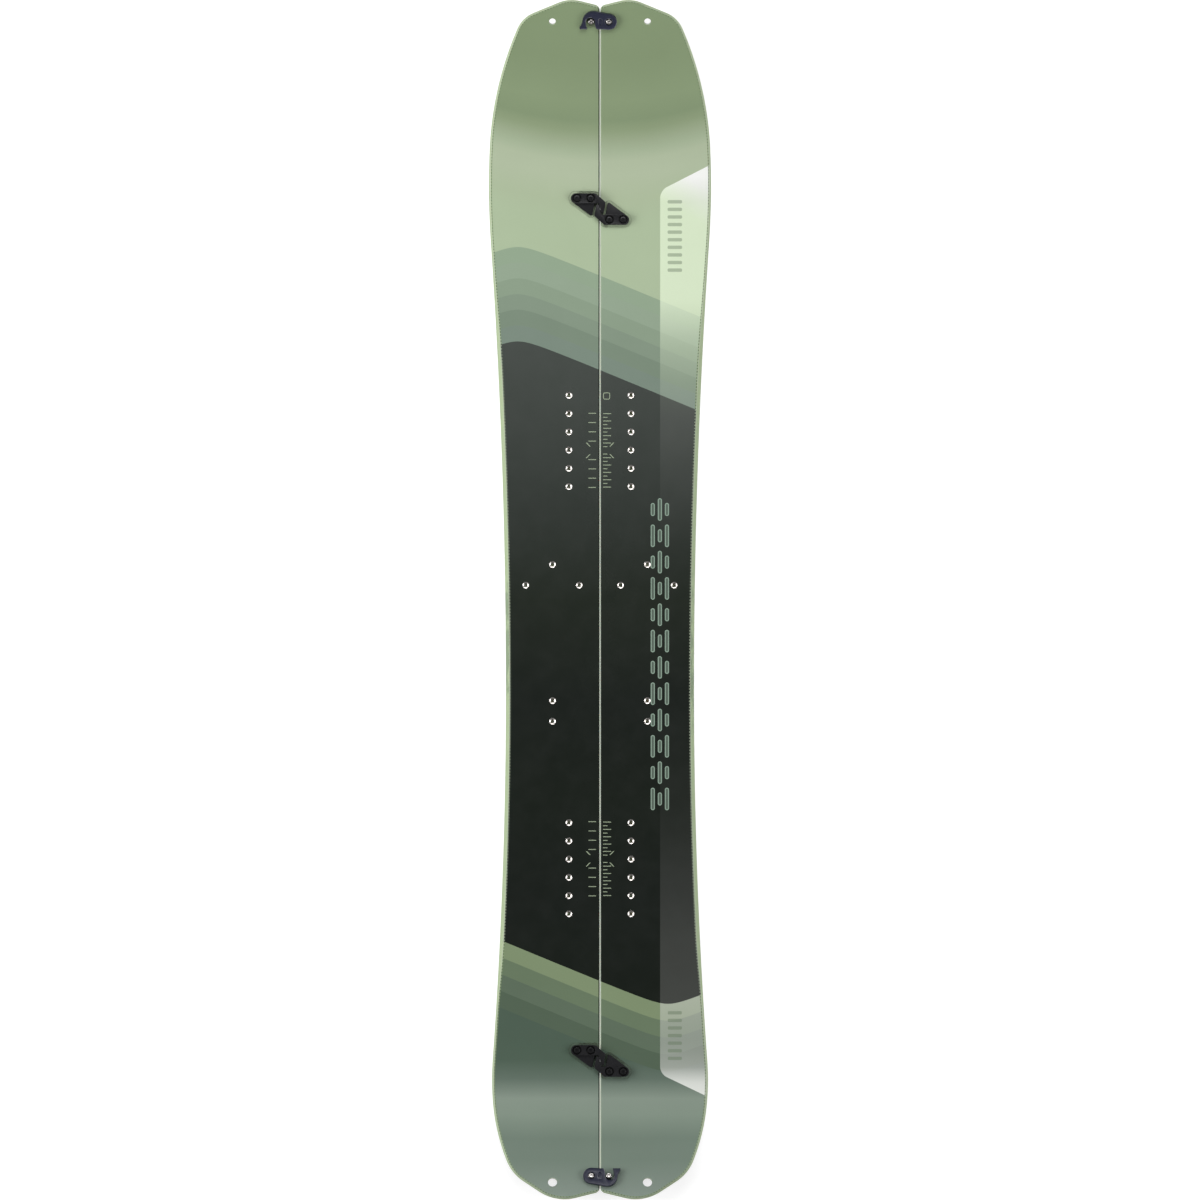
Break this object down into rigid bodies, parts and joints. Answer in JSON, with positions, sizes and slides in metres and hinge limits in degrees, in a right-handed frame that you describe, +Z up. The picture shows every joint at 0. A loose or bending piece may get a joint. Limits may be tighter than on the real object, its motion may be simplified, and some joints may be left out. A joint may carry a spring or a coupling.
{
  "type": "splitboard",
  "caption": "Directional splitboard in two halves joined by tapered centre hooks and swinging tip and tail clips, with threaded inserts for bindings and touring brackets.",
  "frame": {"origin": "middle of the bounding box on the floor plane, so x = 0 is the seam and z = 0 is the flat of the base", "axes": "+X to the right half, +Y to the nose, +Z up from the base to the topsheet"},
  "size_m": [0.3042, 1.64, 0.0608],
  "materials": {
    "topsheet_film": "satin printed film, moss green bands over near-black",
    "base_plastic": "black sintered polyethylene with fine stone-ground structure",
    "edge_steel": "ground steel edge",
    "glass_laminate": "woven glass in clear resin",
    "wood_core": "vertical wood strips, fine sanded",
    "sidewall_plastic": "planed light green plastic",
    "insert_steel": "bright turned stainless steel",
    "black_screw": "black oxide",
    "clear_pad": "thin clear film",
    "hook_black": "satin black anodised",
    "clip_navy": "moulded glass-filled nylon, very dark blue",
    "bush_black": "moulded black acetal",
    "bright_screw": "polished stainless steel"
  },
  "bodies": {
    "right_half": {"right_base": "base_plastic", "right_outer_edge": "edge_steel", "right_inner_edge": "edge_steel", "right_bottom_laminate": "glass_laminate", "right_core": "wood_core", "right_nose_spacer": "sidewall_plastic", "right_tail_spacer": "sidewall_plastic", "right_outer_sidewall": "sidewall_plastic", "right_inner_sidewall": "sidewall_plastic", "right_top_laminate": "glass_laminate", "right_topsheet": "topsheet_film", "right_binding_inserts": "insert_steel", "right_touring_inserts": "insert_steel", "right_heel_inserts": "insert_steel", "right_hook_inserts": "insert_steel", "right_hook_screws": "black_screw", "right_front_hook_pad": "clear_pad", "right_rear_hook_pad": "clear_pad", "right_front_centre_hook": "hook_black", "right_rear_centre_hook": "hook_black", "nose_clip_screw": "bright_screw", "nose_clip_nut": "insert_steel", "tail_clip_stud": "bush_black", "tail_stud_screw": "bright_screw", "tail_stud_nut": "insert_steel"},
    "left_half": {"left_base": "base_plastic", "left_outer_edge": "edge_steel", "left_inner_edge": "edge_steel", "left_bottom_laminate": "glass_laminate", "left_core": "wood_core", "left_nose_spacer": "sidewall_plastic", "left_tail_spacer": "sidewall_plastic", "left_outer_sidewall": "sidewall_plastic", "left_inner_sidewall": "sidewall_plastic", "left_top_laminate": "glass_laminate", "left_topsheet": "topsheet_film", "left_binding_inserts": "insert_steel", "left_touring_inserts": "insert_steel", "left_heel_inserts": "insert_steel", "left_hook_inserts": "insert_steel", "left_hook_screws": "black_screw", "left_front_hook_pad": "clear_pad", "left_rear_hook_pad": "clear_pad", "left_front_centre_hook": "hook_black", "left_rear_centre_hook": "hook_black", "tail_clip_screw": "bright_screw", "tail_clip_nut": "insert_steel", "nose_clip_stud": "bush_black", "nose_stud_screw": "bright_screw", "nose_stud_nut": "insert_steel"},
    "nose_bush": {"nose_clip_bush": "bush_black"},
    "nose_hook": {"nose_clip_hook": "clip_navy"},
    "tail_bush": {"tail_clip_bush": "bush_black"},
    "tail_hook": {"tail_clip_hook": "clip_navy"}
  },
  "joints": [
    {"name": "half_slide", "type": "slide", "parent": "right_half", "child": "left_half", "axis": [-0.2756, 0.9613, 0], "range_m": [0, 0.045]},
    {"name": "nose_bush_turn", "type": "hinge", "parent": "right_half", "child": "nose_bush", "pos_m": [0.012, 0.7915, 0.05053], "axis": [0, 0.342, -0.9397], "range_deg": [0, 270]},
    {"name": "nose_hook_turn", "type": "hinge", "parent": "nose_bush", "child": "nose_hook", "pos_m": [0.012, 0.7915, 0.05053], "axis": [0, 0.342, -0.9397], "range_deg": [0, 180]},
    {"name": "tail_bush_turn", "type": "hinge", "parent": "left_half", "child": "tail_bush", "pos_m": [-0.012, -0.78902, 0.02712], "axis": [0, -0.2756, -0.9613], "range_deg": [0, 270]},
    {"name": "tail_hook_turn", "type": "hinge", "parent": "tail_bush", "child": "tail_hook", "pos_m": [-0.012, -0.78902, 0.02712], "axis": [0, -0.2756, -0.9613], "range_deg": [0, 180]}
  ],
  "couplings": [
    {"joint": "nose_bush_turn", "follows": "half_slide", "rad_per_m": 104.6},
    {"joint": "tail_bush_turn", "follows": "half_slide", "rad_per_m": 104.6}
  ]
}
